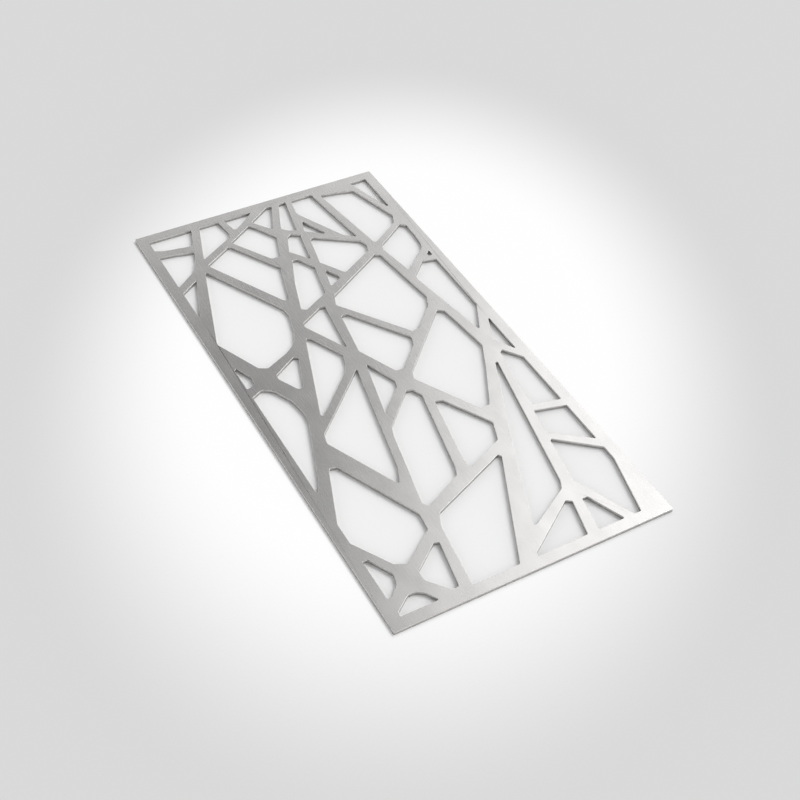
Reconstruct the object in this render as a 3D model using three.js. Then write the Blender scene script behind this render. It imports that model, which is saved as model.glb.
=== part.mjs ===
// Laser cut metal screen: one flat rectangular sheet, cut through by openings of many shapes that leave a
// branching lattice inside a plain border.
// Millimetres, +Z up. The sheet lies flat: X is the short side, Y the long side, the back face is on z = 0,
// and the origin is the middle of the back face.
import * as THREE from "three";

// Sheet
const panelWidth = 300; // short side
const panelLength = 600; // long side
const panelThickness = 4;
const outerCornerRadius = 1; // plan radius of the four outer corners

// Solid border between the outer edge and the nearest openings
const borderWidth = 12;

// Most that a straight facet may stand off the true round of a corner
const roundTolerance = 0.06;

// The field is the part of the sheet inside the border. Its sides, named by every opening that ends on one
const LEFT = "left";
const RIGHT = "right";
const NEAR = "near";
const FAR = "far";

// The openings are drawn from the near left corner of the field and are stretched with it when the sheet or
// its border changes. These lengths of the drawing are left beyond its outermost corners inside the field.
const drawnPastRightmost = 1.4;
const drawnPastFarthest = 5.3;

// Each opening is its corners in order, every corner as [x, y, radius], with x or y a side where it is on one.
// Openings along the far end and the upper part of the field
const farOpenings = {
  farLeftWedge: [[LEFT, FAR, 0.8], [51, FAR, 0.6], [41.6, 548.6, 3.5], [10, 554.1, 15], [LEFT, 558.5, 1.2]],
  leftFan: [
    [LEFT, 545.5, 0.8], [18, 543, 20], [38.6, 537.9, 0.6], [33.8, 522.2, 10], [25.4, 507.1, 5],
    [LEFT, 488.4, 0.8],
  ],
  leftSliver: [[LEFT, 477.3, 0.6], [21.4, 490.9, 0.5], [LEFT, 431, 0.8]],
  farKite: [[60.9, FAR, 0.6], [83.9, FAR, 1.2], [87.5, 553.6, 12], [85.2, 545.1, 3.5], [43.2, 520.6, 0.8]],
  farSmallWedge: [
    [91, FAR, 0.6], [125.8, FAR, 0.5], [108.5, 562.3, 20], [99.2, 555.5, 3.5], [95, 555.3, 2.5],
  ],
  farMiddleSplit: [[117.8, 558.7, 3], [144.6, FAR, 0.8], [151.9, FAR, 0.5], [135, 535.7, 2]],
  farNarrow: [
    [161.2, FAR, 0.6], [169.9, FAR, 0.6], [162.1, 539.6, 30], [158.7, 522.5, 0.8], [149.6, 526.4, 5],
    [144.1, 532.1, 2.5], [145.4, 537.5, 6],
  ],
  farTall: [
    [176.5, FAR, 0.8], [203.5, FAR, 0.6], [215.5, 481.3, 1.2], [202.1, 491.8, 3], [172.2, 549.7, 12],
  ],
  farArrow: [[171.2, 535.2, 1], [188.6, 499.1, 1.8], [165.7, 517.2, 2]],
  farRightQuad: [
    [212.3, 570.7, 0.8], [236, 566.1, 40], [252.2, 561.5, 2.5], [271.1, 498.8, 4], [265.5, 486.1, 8],
    [228.1, 462, 2.8],
  ],
  farRightWedge: [[254.9, FAR, 0.8], [RIGHT, FAR, 0.8], [RIGHT, 508.3, 1.6]],
  upperDiamond: [
    [82, 535, 3], [112.6, 554.3, 1], [117, 549.7, 1.2], [132.7, 522.4, 3], [121.7, 488.5, 3.5],
    [110.9, 488.7, 4],
  ],
  upperSpike: [
    [143.8, 516.1, 1], [150, 519.2, 1.5], [158.4, 513.2, 0.8], [149.8, 468.9, 0.8], [133.7, 490.8, 2],
  ],
  upperLeftKite: [
    [42.3, 509, 3], [76.4, 529.4, 1], [79.2, 527.8, 1], [113, 471.2, 2.5], [98.2, 418.5, 2],
    [92.2, 418.6, 2.5],
  ],
  upperRightHex: [
    [164.5, 499.7, 0.8], [169.5, 502.9, 1.5], [214.8, 473.5, 2], [217.8, 464, 3.5], [214.6, 454.3, 3],
    [173.7, 431.1, 2.5], [156.1, 458.7, 3],
  ],
  smallKite: [[155.3, 445.4, 1.2], [164.4, 428.8, 1.5], [163.8, 425.6, 1.2], [148.5, 417.2, 1.2]],
  upperSail: [
    [130.1, 475.5, 1], [136.5, 475.2, 1], [147.3, 454.6, 1.5], [138.5, 410.8, 3], [107.4, 394, 3],
    [102.5, 397.8, 2], [115.3, 438.4, 40],
  ],
};

// Openings across the middle of the field
const middleOpenings = {
  leftShield: [
    [35.4, 499.3, 1], [38.2, 496.8, 2], [85.4, 407, 3], [86.5, 395, 8], [79.9, 369.5, 20],
    [72.6, 353.5, 15],
    [59.6, 343.3, 15], [31.9, 330.8, 2], [23, 335.4, 4], [LEFT, 386.6, 1.5],
  ],
  middleDart: [
    [94.1, 376.1, 2.5], [121.4, 391.1, 0.8], [127.2, 390.3, 0.8], [118.6, 320.2, 1.5], [93.6, 369.4, 3],
  ],
  middleBlade: [
    [83.7, 347.5, 1], [87.1, 353.7, 0.8], [91.1, 351.1, 1], [109.2, 314.9, 2], [105.2, 300, 10],
    [98.7, 289.7, 4],
    [47.1, 240, 2],
  ],
  leftTriangle: [
    [34.9, 317.7, 2.5], [62.3, 334.1, 0.8], [66.7, 331.5, 0.8], [52.1, 289.7, 2.5], [45.9, 289.5, 2.5],
    [34.6, 311.3, 4],
  ],
  leftNotch: [
    [LEFT, 343, 0.8], [2.6, 344.9, 0.8], [10.9, 326.5, 3], [9.9, 317.1, 2.5], [3.5, 312.9, 2.5],
    [LEFT, 312.9, 0.8],
  ],
  leftBow: [
    [LEFT, 299.2, 0.8], [13, 305.5, 6], [22.3, 299, 12], [33.1, 277.5, 25], [36.1, 256.5, 20],
    [34.3, 243, 15],
    [8.6, 171, 30], [LEFT, 154.4, 1.5],
  ],
  middleShield: [
    [144.5, 401.8, 4], [217.4, 444.4, 0.8], [223.2, 441.4, 1], [234, 355.7, 5], [227.2, 341, 8],
    [200.2, 314.8, 4],
    [191.9, 313.9, 3], [139.1, 386.7, 3.5],
  ],
  rightUpperQuad: [
    [234, 456.6, 4], [270.2, 480.2, 0.8], [RIGHT, 475.6, 1.5], [RIGHT, 457.4, 12], [274.6, 440.4, 15],
    [271.2, 431, 5], [238.6, 402.8, 2], [230.5, 447.9, 4],
  ],
  rightChip: [[RIGHT, 424, 0.5], [RIGHT, 415.4, 0.5], [271.5, 415.2, 0.8], [270.9, 418.8, 0.8]],
  rightTall: [
    [240.9, 392.1, 3], [260.5, 410.4, 0.8], [RIGHT, 406.5, 1], [RIGHT, 320.4, 5], [257.2, 283, 1.5],
    [239.5, 384.5, 4],
  ],
  rightArrow: [[RIGHT, 297.8, 0.8], [262.9, 266, 5], [264, 259, 5], [RIGHT, 240.4, 0.8]],
  middleLeaf: [
    [135.4, 367.3, 1], [137.8, 369.3, 1], [143.4, 368.9, 1], [186.7, 306.7, 5], [182.4, 294.2, 5],
    [156.3, 268.3, 3], [146.8, 268.6, 3], [126.8, 311.5, 4],
  ],
  middleGem: [
    [161.6, 260.2, 4], [232.6, 331.2, 0.8], [239, 326.9, 1.2], [241.8, 307.5, 60], [246.9, 261.5, 5],
    [231.2, 229, 60], [207, 183.6, 3], [196.2, 183.2, 4], [157.4, 249.8, 6],
  ],
  middleArrow: [[124.2, 291.7, 1], [138.8, 257, 4], [136.9, 248.5, 4], [107.3, 218.8, 0.8]],
};

// Openings along the near end and the lower part of the field
const nearOpenings = {
  lowerFin: [[40.5, 221.8, 3], [112.4, 289.5, 0.6], [83.6, 152.4, 10], [74.6, 131.6, 2], [37.6, 209.7, 6]],
  lowerSail: [
    [104.5, 201.2, 4], [141.7, 238.5, 0.8], [148.1, 236.9, 1], [153.2, 226.2, 2], [132.8, 127.6, 10],
    [128.9, 117.4, 5], [85.6, 96.4, 3], [81.7, 102.1, 3], [100.1, 189, 15],
  ],
  lowerDiamond: [
    [160, 212.7, 0.8], [167.8, 210.2, 1.2], [196.8, 161.2, 5], [188.4, 138.4, 5], [144.4, 119.4, 3],
    [145, 134.4, 20],
  ],
  longBlade: [
    [250.1, 244.8, 1.5], [217.3, 87, 40], [212.9, 66, 12], [208.4, 57.2, 5], [158.8, 29.2, 2],
    [180.6, 85.8, 60], [209.1, 152.8, 60],
  ],
  rightBow: [
    [257.8, 243, 1], [261.4, 246.5, 1.2], [RIGHT, 227.3, 3], [RIGHT, 156.9, 1.5], [245.3, 164, 2],
    [250.3, 210, 20], [257, 238.6, 2],
  ],
  rightLowerQuad: [[241.9, 156, 0.8], [RIGHT, 147.5, 1], [RIGHT, 95.4, 1], [237, 124.5, 1.5]],
  nearRightKite: [
    [233.5, 113.1, 0.8], [235.5, 115.7, 0.8], [RIGHT, 82.9, 1.5], [RIGHT, 66.5, 15], [259.3, NEAR, 1.2],
    [251.5, NEAR, 1], [224.1, 61.7, 3],
  ],
  nearRightWedge: [[218.4, 38, 1], [224.4, 37.6, 1.2], [240.5, NEAR, 1.2], [211.4, NEAR, 0.8]],
  nearMiddleWedge: [
    [144.6, 3.9, 1.2], [203.1, 43.4, 1.5], [208.5, 39.6, 1], [198.6, NEAR, 2], [143.6, NEAR, 0.8],
  ],
  nearTall: [
    [74.3, NEAR, 0.8], [83.3, 69.8, 10], [90.7, 85.2, 5], [177.6, 121.8, 1.5], [180, 118.5, 1.5],
    [124.2, NEAR, 3],
  ],
  lowerLeftShield: [
    [LEFT, 115.4, 4], [22.7, 176.4, 1], [25.3, 180.1, 0.8], [32.5, 178.4, 1.2], [73.1, 92.3, 5],
    [71, 72.9, 3],
    [34.8, 47, 4], [23.4, 52.2, 4], [LEFT, 90.8, 4],
  ],
  nearLeftTriangle: [
    [39.2, 35, 3], [67.5, 56.6, 0.8], [72.5, 54.8, 0.8], [62.9, 4.1, 2.5], [55.2, 4.5, 4], [39.1, 24.1, 4],
  ],
  nearLeftNotch: [
    [LEFT, 67.3, 0.8], [5.1, 66.9, 0.8], [18.1, 42.7, 4], [15.3, 32.3, 4], [5.6, 22.4, 3],
    [LEFT, 21.5, 0.8],
  ],
  nearLeftCorner: [
    [1.2, NEAR, 0.8], [1.2, 4.5, 0.8], [18.1, 16.9, 4], [25.6, 16.7, 8], [32.7, 11.9, 6], [40.2, NEAR, 1],
  ],
};

// Derived sizes
const openings = { ...farOpenings, ...middleOpenings, ...nearOpenings };
const drawnCorners = Object.values(openings).flat();
const farthestDrawn = (axis) => Math.max(...drawnCorners.map((corner) => corner[axis]).filter(Number.isFinite));
const fieldWidth = panelWidth - 2 * borderWidth;
const fieldLength = panelLength - 2 * borderWidth;
const stretchX = fieldWidth / (farthestDrawn(0) + drawnPastRightmost);
const stretchY = fieldLength / (farthestDrawn(1) + drawnPastFarthest);
const sidePlaces = {
  [LEFT]: -fieldWidth / 2,
  [RIGHT]: fieldWidth / 2,
  [NEAR]: -fieldLength / 2,
  [FAR]: fieldLength / 2,
};

// A corner takes at most this share of each straight side beside it, so two rounds on one side never meet
const sideShare = 0.48;

// Closed outline through the corners [x, y, radius], each turned into a round that meets both of its sides
function roundedOutline(corners) {
  const points = [];
  corners.forEach(([x, y, radius], i) => {
    const corner = new THREE.Vector2(x, y);
    const before = corners[(i + corners.length - 1) % corners.length];
    const after = corners[(i + 1) % corners.length];
    const toBefore = new THREE.Vector2(before[0] - x, before[1] - y);
    const toAfter = new THREE.Vector2(after[0] - x, after[1] - y);
    const reach = sideShare * Math.min(toBefore.length(), toAfter.length());
    toBefore.normalize();
    toAfter.normalize();
    const halfAngle = Math.acos(THREE.MathUtils.clamp(toBefore.dot(toAfter), -1, 1)) / 2;
    const tangent = Math.min(radius / Math.tan(halfAngle), reach);
    const round = tangent * Math.tan(halfAngle);
    const bisector = toBefore.clone().add(toAfter).normalize();
    const centre = bisector.multiplyScalar(round / Math.sin(halfAngle)).add(corner);
    const start = toBefore.clone().multiplyScalar(tangent).add(corner).sub(centre);
    const end = toAfter.clone().multiplyScalar(tangent).add(corner).sub(centre);
    const turn = Math.atan2(start.cross(end), start.dot(end));
    const facetTurn = 2 * Math.acos(Math.max(1 - roundTolerance / round, 0));
    const facets = Math.max(1, Math.ceil(Math.abs(turn) / facetTurn));
    for (let k = 0; k <= facets; k += 1) {
      points.push(start.clone().rotateAround(new THREE.Vector2(), (turn * k) / facets).add(centre));
    }
  });
  return points;
}

// Corners of an opening moved from the drawing to their place on the sheet
function placedOnSheet(corners) {
  return corners.map(([x, y, radius]) => [
    sidePlaces[x] ?? sidePlaces[LEFT] + x * stretchX,
    sidePlaces[y] ?? sidePlaces[NEAR] + y * stretchY,
    radius * Math.min(stretchX, stretchY),
  ]);
}

function sheetCorners() {
  const x = panelWidth / 2;
  const y = panelLength / 2;
  return [[-x, -y], [x, -y], [x, y], [-x, y]].map((corner) => [...corner, outerCornerRadius]);
}

function panelGeometry() {
  const sheet = new THREE.Shape(roundedOutline(sheetCorners()));
  for (const corners of Object.values(openings)) {
    sheet.holes.push(new THREE.Path(roundedOutline(placedOnSheet(corners))));
  }
  return new THREE.ExtrudeGeometry(sheet, { depth: panelThickness, bevelEnabled: false, curveSegments: 1 });
}

const brushedMetal = new THREE.MeshStandardMaterial({ color: 0xa8a8a5, roughness: 0.38, metalness: 1 });

const panel = new THREE.Mesh(panelGeometry(), brushedMetal);
panel.name = "screen_panel";

const screen = new THREE.Group();
screen.name = "laser_cut_metal_screen";
screen.add(panel);

export default screen;
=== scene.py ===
import math

import bpy
import numpy as np
from mathutils import Euler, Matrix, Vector


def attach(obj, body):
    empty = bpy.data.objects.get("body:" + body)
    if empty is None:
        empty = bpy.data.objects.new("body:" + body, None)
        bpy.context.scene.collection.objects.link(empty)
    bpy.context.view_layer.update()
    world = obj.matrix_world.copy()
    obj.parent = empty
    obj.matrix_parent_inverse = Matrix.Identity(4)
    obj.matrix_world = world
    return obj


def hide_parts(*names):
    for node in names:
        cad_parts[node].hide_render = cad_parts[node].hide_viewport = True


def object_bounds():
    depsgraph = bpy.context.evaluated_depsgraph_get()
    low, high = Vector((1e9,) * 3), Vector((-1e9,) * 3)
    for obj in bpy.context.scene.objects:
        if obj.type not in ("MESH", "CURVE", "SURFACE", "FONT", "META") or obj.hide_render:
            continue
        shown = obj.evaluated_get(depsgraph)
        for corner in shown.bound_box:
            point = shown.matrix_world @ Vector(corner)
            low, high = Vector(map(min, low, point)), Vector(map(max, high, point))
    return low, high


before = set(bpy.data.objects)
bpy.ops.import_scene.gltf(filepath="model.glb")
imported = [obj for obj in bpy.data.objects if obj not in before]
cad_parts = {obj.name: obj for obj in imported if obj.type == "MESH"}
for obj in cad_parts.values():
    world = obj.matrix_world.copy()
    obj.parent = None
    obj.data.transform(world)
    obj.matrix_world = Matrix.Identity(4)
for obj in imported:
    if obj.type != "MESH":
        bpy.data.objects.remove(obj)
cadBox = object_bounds()
print("frame loaded")

scene = bpy.context.scene


def newMaterial(name):
    # an empty node tree to build a finish in
    material = bpy.data.materials.new(name)
    material.use_nodes = True
    tree = material.node_tree
    tree.nodes.clear()
    return material, tree


def addNode(tree, kind, inputs=None, **settings):
    # one node, with each input linked when it is given a socket and set when it is given a value
    node = tree.nodes.new(kind)
    for key, value in settings.items():
        setattr(node, key, value)
    for key, value in (inputs or {}).items():
        if isinstance(value, bpy.types.NodeSocket):
            tree.links.new(value, node.inputs[key])
        else:
            node.inputs[key].default_value = value
    return node


def maths(tree, operation, first, second=0.0, third=0.0, clamp=False):
    inputs = {0: first, 1: second, 2: third}
    return addNode(tree, "ShaderNodeMath", inputs, operation=operation, use_clamp=clamp).outputs[0]


def remap(tree, value, fromLow, fromHigh, toLow=0.0, toHigh=1.0, smooth=False):
    # (value - fromLow) / (fromHigh - fromLow), held to 0..1, eased if smooth, then spread over toLow..toHigh
    inputs = {"Value": value, "From Min": fromLow, "From Max": fromHigh, "To Min": toLow, "To Max": toHigh}
    kind = "SMOOTHSTEP" if smooth else "LINEAR"
    return addNode(tree, "ShaderNodeMapRange", inputs, interpolation_type=kind, clamp=True).outputs["Result"]


def mixColours(tree, share, first, second, blend="MIX"):
    node = addNode(tree, "ShaderNodeMix", data_type="RGBA", blend_type=blend)
    for socket, value in ((node.inputs[0], share), (node.inputs[6], first), (node.inputs[7], second)):
        if isinstance(value, bpy.types.NodeSocket):
            tree.links.new(value, socket)
        else:
            socket.default_value = value
    return node.outputs[2]


def stretchedNoise(tree, place, perMetre, detail=2.0, roughness=0.5, shift=(0.0, 0.0, 0.0)):
    # noise read at object place times (x, y, z) cells per metre, so that unequal values draw streaks
    mapping = addNode(tree, "ShaderNodeMapping", {"Vector": place, "Location": shift, "Scale": perMetre})
    inputs = {"Vector": mapping.outputs[0], "Scale": 1.0, "Detail": detail, "Roughness": roughness}
    return addNode(tree, "ShaderNodeTexNoise", inputs, noise_dimensions="3D").outputs[0]


def grey(level, warmth=0.0):
    return (level * (1 + warmth), level, level * (1 - warmth), 1.0)


sheetLook = {
    "breakRadius": 0.00024,      # rounding where the face turns into a wall
    "backBreakRadius": 0.00012,
    "cutDepth": 0.0015,          # fine upper zone of the cut, from the front face down
    "kerfStep": 0.00003,         # how far the coarse lower zone is set back
    "kerfStepDrop": 0.0001,      # height over which that step is taken
    "kerfTaper": 0.00005,        # further set back by the time it reaches the back face
    "roundSteps": 4,             # facets of each rounding
}


def rimOf(points, triangles):
    # directed edges that only one of these triangles has, as start and end indices
    edges = np.concatenate([triangles[:, [0, 1]], triangles[:, [1, 2]], triangles[:, [2, 0]]])
    count = len(points)
    forward = edges[:, 0] * count + edges[:, 1]
    backward = edges[:, 1] * count + edges[:, 0]
    return edges[~np.isin(forward, backward)]


def cutProfile(look, thickness):
    # the wall as set-back into the metal, height and facing angle, from the front face to the back face:
    # a quarter turn from (radius, thickness) to (0, thickness - radius), a step, a taper and a smaller turn
    front, back = look["breakRadius"], look["backBreakRadius"]
    turn = np.linspace(0, math.pi / 2, look["roundSteps"] + 1)
    frontSetBack = front * (1 - np.sin(turn))
    frontHeight = thickness - front * (1 - np.cos(turn))
    frontArc = np.stack([frontSetBack, frontHeight, math.pi / 2 - turn], 1)
    zone = thickness - look["cutDepth"]
    step = look["kerfStep"]
    deepest = step + look["kerfTaper"]
    middle = np.array([[0, zone, 0.0], [step, zone - look["kerfStepDrop"], 0.0], [deepest, back, 0.0]])
    backArc = np.stack([deepest + back * (1 - np.cos(turn)), back * (1 - np.sin(turn)), -turn], 1)
    return np.concatenate([frontArc, middle, backArc[1:]])


def carriedWalls(place, start, end, profile):
    # each rim point moves back along its miter, (before + after) / (1 + before . after), by each row's
    # set-back. It faces the mean of its two sides, weighted by squared length and tilted by the row's angle
    side = place[end] - place[start]
    length = np.linalg.norm(side, axis=1)
    outward = np.stack([side[:, 1], -side[:, 0]], 1) / length[:, None]
    incoming = np.zeros(len(place), int)
    incoming[end] = np.arange(len(end))
    before, after = outward[incoming], outward[np.argsort(start)]
    miter = (before + after) / (1 + (before * after).sum(1))[:, None]
    weightBefore, weightAfter = length[incoming] ** 2, length[np.argsort(start)] ** 2
    facing = before * weightBefore[:, None] + after * weightAfter[:, None]
    facing /= np.linalg.norm(facing, axis=1)[:, None]
    setBack, height, tilt = profile.T
    rows = place[None] - miter[None] * setBack[:, None, None]
    points = np.concatenate([rows, np.broadcast_to(height[:, None, None], rows.shape[:2] + (1,))], 2)
    plan = facing[None] * np.cos(tilt)[:, None, None]
    upward = np.broadcast_to(np.sin(tilt)[:, None, None], plan.shape[:2] + (1,))
    return points, np.concatenate([plan, upward], 2)


def buildSheet(node, look):
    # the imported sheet's front triangles, their rim carried down the profile, and the triangles turned over
    mesh = node.data
    raw = np.zeros(len(mesh.vertices) * 3)
    mesh.vertices.foreach_get("co", raw)
    mesh.calc_loop_triangles()
    triangles = np.zeros(len(mesh.loop_triangles) * 3, int)
    mesh.loop_triangles.foreach_get("vertices", triangles)
    rounded = np.round(raw.reshape(-1, 3), 6)
    points, same = np.unique(rounded, axis=0, return_inverse=True)
    triangles = same.reshape(-1)[triangles.reshape(-1, 3)]
    thickness = points[:, 2].max()
    isFront = (points[triangles][:, :, 2] > thickness / 2).all(1)
    used, front = np.unique(triangles[isFront], return_inverse=True)
    front = front.reshape(-1, 3)
    place = points[used][:, :2]
    rim = rimOf(place, front)
    start, end = rim[:, 0], rim[:, 1]
    profile = cutProfile(look, thickness)
    grid, facing = carriedWalls(place, start, end, profile)
    count, rows = len(place), len(profile)
    level = np.arange(rows - 1)[:, None] * count
    above, below = level, level + count
    walls = np.stack([start + above, start + below, end + below, end + above], 2).reshape(-1, 4)
    back = front[:, ::-1] + (rows - 1) * count
    faces = front.tolist() + back.tolist() + walls.tolist()
    return grid.reshape(-1, 3), faces, facing.reshape(-1, 3), len(front)


points, faces, facing, flatCount = buildSheet(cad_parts["screen_panel"], sheetLook)
sheetMesh = bpy.data.meshes.new("laserCutSheet")
sheetMesh.from_pydata(points.tolist(), [], faces)
sheetMesh.polygons.foreach_set("use_smooth", np.ones(len(faces), bool))
isWall = (np.arange(len(faces)) >= 2 * flatCount).astype(np.int32)
sheetMesh.polygons.foreach_set("material_index", isWall)
sheetMesh.normals_split_custom_set_from_vertices(facing.tolist())
sheet = bpy.data.objects.new("laserCutSheet", sheetMesh)
scene.collection.objects.link(sheet)
print("sheet", len(points), "points", len(faces), "faces")

finish = {
    "metal": 0.60,               # reflectance of the bare metal, linear
    "warmth": 0.014,
    "faceRoughness": 0.27,
    "roughnessSpread": 0.008,    # the brush lines' share of the roughness, to either side
    "brushRelief": 0.018,
    "brushDepth": 0.00001,       # metres
    "streakWidth": 0.00045,      # one fine brush line, metres
    "streakLength": 0.030,
    "streakContrast": 0.022,
    "scratchLevel": 0.035,       # extra light on the few deeper brush lines
    "mottle": 0.055,             # broad uneven patches left by handling
    "mottlePerMetre": (50, 28, 1),
    "cutMetal": 0.49,
    "cutWarmth": 0.025,
    "cutRoughness": 0.5,
    "cutMetallic": 0.85,         # less than 1 for the dull oxide on a cut
    "cutTop": 1.24,              # shade of the upper zone
    "cutFallAndShade": 0.42,             # how much darker the lower zone is: partly its coarser cut, partly painted shade near the table
    "ribContrast": 0.22,
    "ribRelief": 0.6,
    "ribDepth": 0.00012,         # metres
    "ribPitch": 0.0013,          # spacing of the upright marks left by the laser
    "lipMetal": 0.63,            # bare bright metal on the rounding of the edges
    "lipWarmth": 0.01,
    "lipRoughness": 0.3,
}


def brushedFace(look):
    # metal x (1 + contrast x brush lines) x (1 + mottle x patches), with the few deeper lines added to it
    material, tree = newMaterial("brushed metal face")
    place = addNode(tree, "ShaderNodeTexCoord").outputs["Object"]
    width, length = look["streakWidth"], look["streakLength"]
    fine = stretchedNoise(tree, place, (1 / width, 1 / length, 1), detail=2.0, roughness=0.6)
    broad = stretchedNoise(tree, place, (0.3 / width, 0.5 / length, 1), detail=1.0, shift=(7, 3, 1))
    deep = stretchedNoise(tree, place, (0.8 / width, 0.7 / length, 1), detail=0.0, shift=(4, 8, 2))
    clouds = stretchedNoise(tree, place, look["mottlePerMetre"], detail=4.0, shift=(2, 9, 4))
    lines = maths(tree, "MULTIPLY_ADD", fine, 0.75, maths(tree, "MULTIPLY", broad, 0.25))
    contrast, mottle = look["streakContrast"], look["mottle"]
    shade = remap(tree, lines, 0.3, 0.7, 1 - contrast, 1 + contrast)
    shade = maths(tree, "MULTIPLY", shade, remap(tree, clouds, 0.3, 0.7, 1 - mottle, 1 + mottle))
    scratches = remap(tree, deep, 0.67, 0.77, 0.0, look["scratchLevel"])
    shade = maths(tree, "ADD", shade, scratches)
    tint = mixColours(tree, 1.0, grey(look["metal"], look["warmth"]), shade, "MULTIPLY")
    roughness, spread = look["faceRoughness"], look["roughnessSpread"]
    rough = remap(tree, lines, 0.3, 0.7, roughness + spread, roughness - spread)
    relief = {"Strength": look["brushRelief"], "Distance": look["brushDepth"], "Height": lines}
    bump = addNode(tree, "ShaderNodeBump", relief)
    inputs = {"Base Color": tint, "Metallic": 1.0, "Roughness": rough, "Normal": bump.outputs[0]}
    surface = addNode(tree, "ShaderNodeBsdfPrincipled", inputs)
    addNode(tree, "ShaderNodeOutputMaterial", {"Surface": surface.outputs[0]})
    return material


def cutWall(look, sheet, thickness):
    # (cutTop - cutFallAndShade x lower) x (1 + contrast x upright marks), fine above the split and coarse
    # below, and plain bright metal on the rounding at the top. The darker lower zone is partly the coarser
    # cut, partly painted shade
    material, tree = newMaterial("laser cut wall")
    place = addNode(tree, "ShaderNodeTexCoord").outputs["Object"]
    height = addNode(tree, "ShaderNodeSeparateXYZ", {0: place}).outputs[2]
    pitch = look["ribPitch"]
    coarse = stretchedNoise(tree, place, (1 / pitch, 1 / pitch, 90), detail=2.0, roughness=0.55)
    fine = stretchedNoise(tree, place, (3 / pitch, 3 / pitch, 160), detail=1.0, shift=(5, 5, 5))
    split = thickness - sheet["cutDepth"]
    lower = remap(tree, height, split - 0.0003, split + 0.0003, 1.0, 0.0, smooth=True)
    marks = addNode(tree, "ShaderNodeMix", {0: lower, 2: fine, 3: coarse}, data_type="FLOAT").outputs[0]
    # darker towards the bottom: partly the coarser lower cut, partly painted shade near the table
    heightShade = maths(tree, "MULTIPLY_ADD", lower, -look["cutFallAndShade"], look["cutTop"])
    streaks = remap(tree, marks, 0.3, 0.7, 1 - look["ribContrast"], 1 + look["ribContrast"])
    shade = maths(tree, "MULTIPLY", heightShade, streaks)
    radius = sheet["breakRadius"]
    lip = remap(tree, height, thickness - radius - 0.0001, thickness - radius * 0.6, smooth=True)
    dark = mixColours(tree, 1.0, grey(look["cutMetal"], look["cutWarmth"]), shade, "MULTIPLY")
    tint = mixColours(tree, lip, dark, grey(look["lipMetal"], look["lipWarmth"]))
    rough = remap(tree, lip, 0.0, 1.0, look["cutRoughness"], look["lipRoughness"])
    relief = remap(tree, lip, 0.0, 1.0, look["ribRelief"], 0.0)
    ribs = {"Strength": relief, "Distance": look["ribDepth"], "Height": marks}
    bump = addNode(tree, "ShaderNodeBump", ribs)
    metallic = look["cutMetallic"]
    inputs = {"Base Color": tint, "Metallic": metallic, "Roughness": rough, "Normal": bump.outputs[0]}
    surface = addNode(tree, "ShaderNodeBsdfPrincipled", inputs)
    addNode(tree, "ShaderNodeOutputMaterial", {"Surface": surface.outputs[0]})
    return material


thickness = cadBox[1][2] - cadBox[0][2]
sheetMesh.materials.append(brushedFace(finish))
sheetMesh.materials.append(cutWall(finish, sheetLook, thickness))
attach(sheet, "root")
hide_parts("screen_panel")
print("finishes made")

table = {
    "size": 9.0,                 # metres across
    "inside": 0.882,             # paper within the sheet's outline, painted darker than the pool as shade under the sheet
    "outside": 1.0,              # middle of the pool of light on the table
    "rim": 0.70,                 # paper far from the pool
    "poolCentre": (0.038, 0.023),
    "poolTurn": -31.2,           # degrees
    "poolAxes": (0.454, 0.643),
    "poolFade": (0.456, 0.876),  # shares of the axes where the pool starts and ends to fade
    "far": 1.0,                  # paper that runs out of sight into the white room
    "farReach": (2.0, 3.6),      # metres from the middle of the pool
    "clean": 0.93,               # share of the open table that is seen as plain white paper
    "shadowReach": (0.0, 0.0042),  # metres beside the sheet where its shadow lies
}


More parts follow.
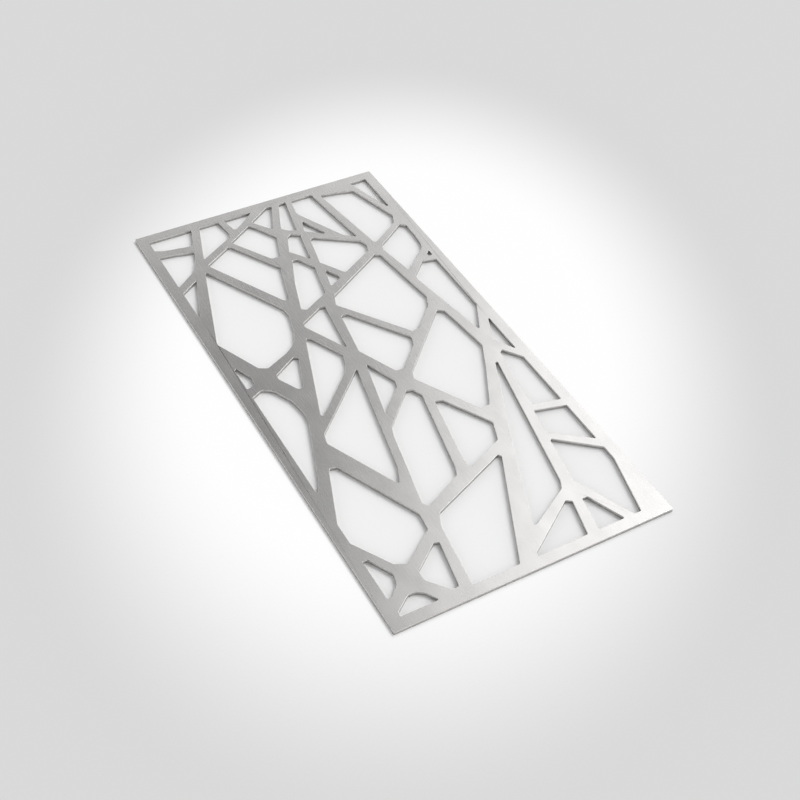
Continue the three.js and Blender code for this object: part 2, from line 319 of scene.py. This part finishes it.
def paleTable(look, box):
    # a flat grid, its paper a pool of light: a smooth step of the distance from the centre in shares of the
    # axes. Under the sheet the paper is a darker level, painted shade. Beside the sheet a share of the paper
    # is seen plain, and the rest keeps the shadow
    half = look["size"] / 2
    along = np.linspace(-half, half, 3)
    x, y = np.meshgrid(along, along, indexing="ij")
    grid = np.stack([x, y, np.zeros_like(x)], 2).reshape(-1, 3)
    corner = np.array([0, 1, 3, 4])
    cell = corner[:, None] + np.array([0, 3, 4, 1])
    mesh = bpy.data.meshes.new("paleTable")
    mesh.from_pydata(grid.tolist(), [], cell.tolist())
    floor = bpy.data.objects.new("paleTable", mesh)
    scene.collection.objects.link(floor)
    material, tree = newMaterial("white paper table")
    place = addNode(tree, "ShaderNodeTexCoord").outputs["Object"]
    axes = addNode(tree, "ShaderNodeSeparateXYZ", {0: place}).outputs
    pastX = maths(tree, "SUBTRACT", maths(tree, "ABSOLUTE", axes[0]), float(box[1][0]))
    pastY = maths(tree, "SUBTRACT", maths(tree, "ABSOLUTE", axes[1]), float(box[1][1]))
    past = maths(tree, "MAXIMUM", pastX, pastY)
    outside = remap(tree, past, -0.009, 0.0, smooth=True)
    bare = remap(tree, past, *look["shadowReach"], 0.0, look["clean"], smooth=True)
    middle = (*look["poolCentre"], 0.0)
    shifted = addNode(tree, "ShaderNodeVectorMath", {0: place, 1: middle}, operation="SUBTRACT").outputs[0]
    turning = {"Vector": shifted, "Angle": -math.radians(look["poolTurn"])}
    turned = addNode(tree, "ShaderNodeVectorRotate", turning, rotation_type="Z_AXIS").outputs[0]
    shares = (1 / look["poolAxes"][0], 1 / look["poolAxes"][1], 0.0)
    scaled = addNode(tree, "ShaderNodeVectorMath", {0: turned, 1: shares}, operation="MULTIPLY").outputs[0]
    radius = addNode(tree, "ShaderNodeVectorMath", {0: scaled}, operation="LENGTH").outputs["Value"]
    reach = addNode(tree, "ShaderNodeVectorMath", {0: shifted}, operation="LENGTH").outputs["Value"]
    away = remap(tree, reach, *look["farReach"], look["rim"], look["far"], smooth=True)
    pool = remap(tree, radius, *look["poolFade"], look["outside"], away, smooth=True)
    # painted shade: within the sheet's outline the paper takes the darker under-sheet level instead of the
    # pool
    sides = {0: outside, 2: look["inside"], 3: pool}
    level = addNode(tree, "ShaderNodeMix", sides, data_type="FLOAT").outputs[0]
    fibres = stretchedNoise(tree, place, (420, 420, 420), detail=4.0)
    tooth = maths(tree, "MULTIPLY", level, remap(tree, fibres, 0.3, 0.7, 0.985, 1.0))
    paper = addNode(tree, "ShaderNodeCombineColor", {0: tooth, 1: tooth, 2: tooth}).outputs[0]
    diffuse = addNode(tree, "ShaderNodeBsdfDiffuse", {"Color": paper})
    plain = addNode(tree, "ShaderNodeEmission", {"Color": paper, "Strength": 1.0})
    rays = addNode(tree, "ShaderNodeLightPath").outputs
    mirrored = maths(tree, "ADD", rays["Is Glossy Ray"], rays["Is Transmission Ray"])
    seen = maths(tree, "ADD", rays["Is Camera Ray"], mirrored, clamp=True)
    clean = maths(tree, "MULTIPLY", bare, seen)
    surface = addNode(tree, "ShaderNodeMixShader", {0: clean, 1: diffuse.outputs[0], 2: plain.outputs[0]})
    addNode(tree, "ShaderNodeOutputMaterial", {"Surface": surface.outputs[0]})
    mesh.materials.append(material)
    return floor


paleTable(table, cadBox)
print("table laid")

studio = {
    "base": 0.172,               # even light from everywhere
    "softbox": 1.43,             # broad bright side on the right
    "softboxAzimuth": 67.3,      # degrees clockwise from +Y
    "softboxHeight": 44.5,
    "softboxEdges": (0.895, 0.934),
    "horizon": 1.12,             # pale walls of the room
    "horizonHeights": (0.573, 0.626),
    "key": 0.28,                 # share of white that the key adds on a level sheet of paper
    "keyAzimuth": 97.0,
    "keyHeight": 50.0,
    "keyWidth": 34.0,            # degrees across
}


def aimed(azimuth, height):
    # the direction at this azimuth, clockwise from +Y, and this height above the table, in degrees
    a, h = math.radians(azimuth), math.radians(height)
    return Vector((math.sin(a) * math.cos(h), math.cos(a) * math.cos(h), math.sin(h)))


def roomLight(look):
    # base + a smooth step of the angle to the softbox + a smooth step of how low the direction is
    world = bpy.data.worlds.new("studio room")
    world.use_nodes = True
    tree = world.node_tree
    tree.nodes.clear()
    way = addNode(tree, "ShaderNodeTexCoord").outputs["Generated"]
    boxWay = aimed(look["softboxAzimuth"], look["softboxHeight"])
    alongBox = addNode(tree, "ShaderNodeVectorMath", {0: way, 1: boxWay}, operation="DOT_PRODUCT")
    toBox = alongBox.outputs["Value"]
    box = remap(tree, toBox, *look["softboxEdges"], 0.0, look["softbox"], smooth=True)
    up = addNode(tree, "ShaderNodeSeparateXYZ", {0: way}).outputs[2]
    rim = remap(tree, up, *look["horizonHeights"], look["horizon"], 0.0, smooth=True)
    strength = maths(tree, "ADD", maths(tree, "ADD", box, rim), look["base"])
    glow = addNode(tree, "ShaderNodeBackground", {"Color": (1, 1, 1, 1), "Strength": strength})
    addNode(tree, "ShaderNodeOutputWorld", {"Surface": glow.outputs[0]})
    scene.world = world


def keyLamp(look):
    # a sun that adds the share "key" of white to level paper: energy = key x pi / sine of its height
    lamp = bpy.data.lights.new("soft key", "SUN")
    way = aimed(look["keyAzimuth"], look["keyHeight"])
    lamp.angle = math.radians(look["keyWidth"])
    lamp.energy = look["key"] * math.pi / way.z
    holder = bpy.data.objects.new("soft key", lamp)
    holder.rotation_mode = "QUATERNION"
    holder.rotation_quaternion = way.to_track_quat("Z", "Y")
    scene.collection.objects.link(holder)


roomLight(studio)
keyLamp(studio)
scene.view_settings.view_transform = "Standard"

camera = {
    "place": (-0.49572, -0.84787, 0.93404),
    "turn": (44.8796, -2.347, -29.331),   # degrees about X, Y and Z
    "lens": 58.96,                       # on a sensor 36 mm wide
}
cameraData = bpy.data.cameras.new("camera")
cameraData.lens = camera["lens"]
cameraData.sensor_width = 36
cameraData.clip_start = 0.01
cameraData.clip_end = 50
cameraObject = bpy.data.objects.new("camera", cameraData)
cameraObject.location = camera["place"]
cameraObject.rotation_euler = Euler([math.radians(angle) for angle in camera["turn"]])
scene.collection.objects.link(cameraObject)
scene.camera = cameraObject
print("light and camera set")
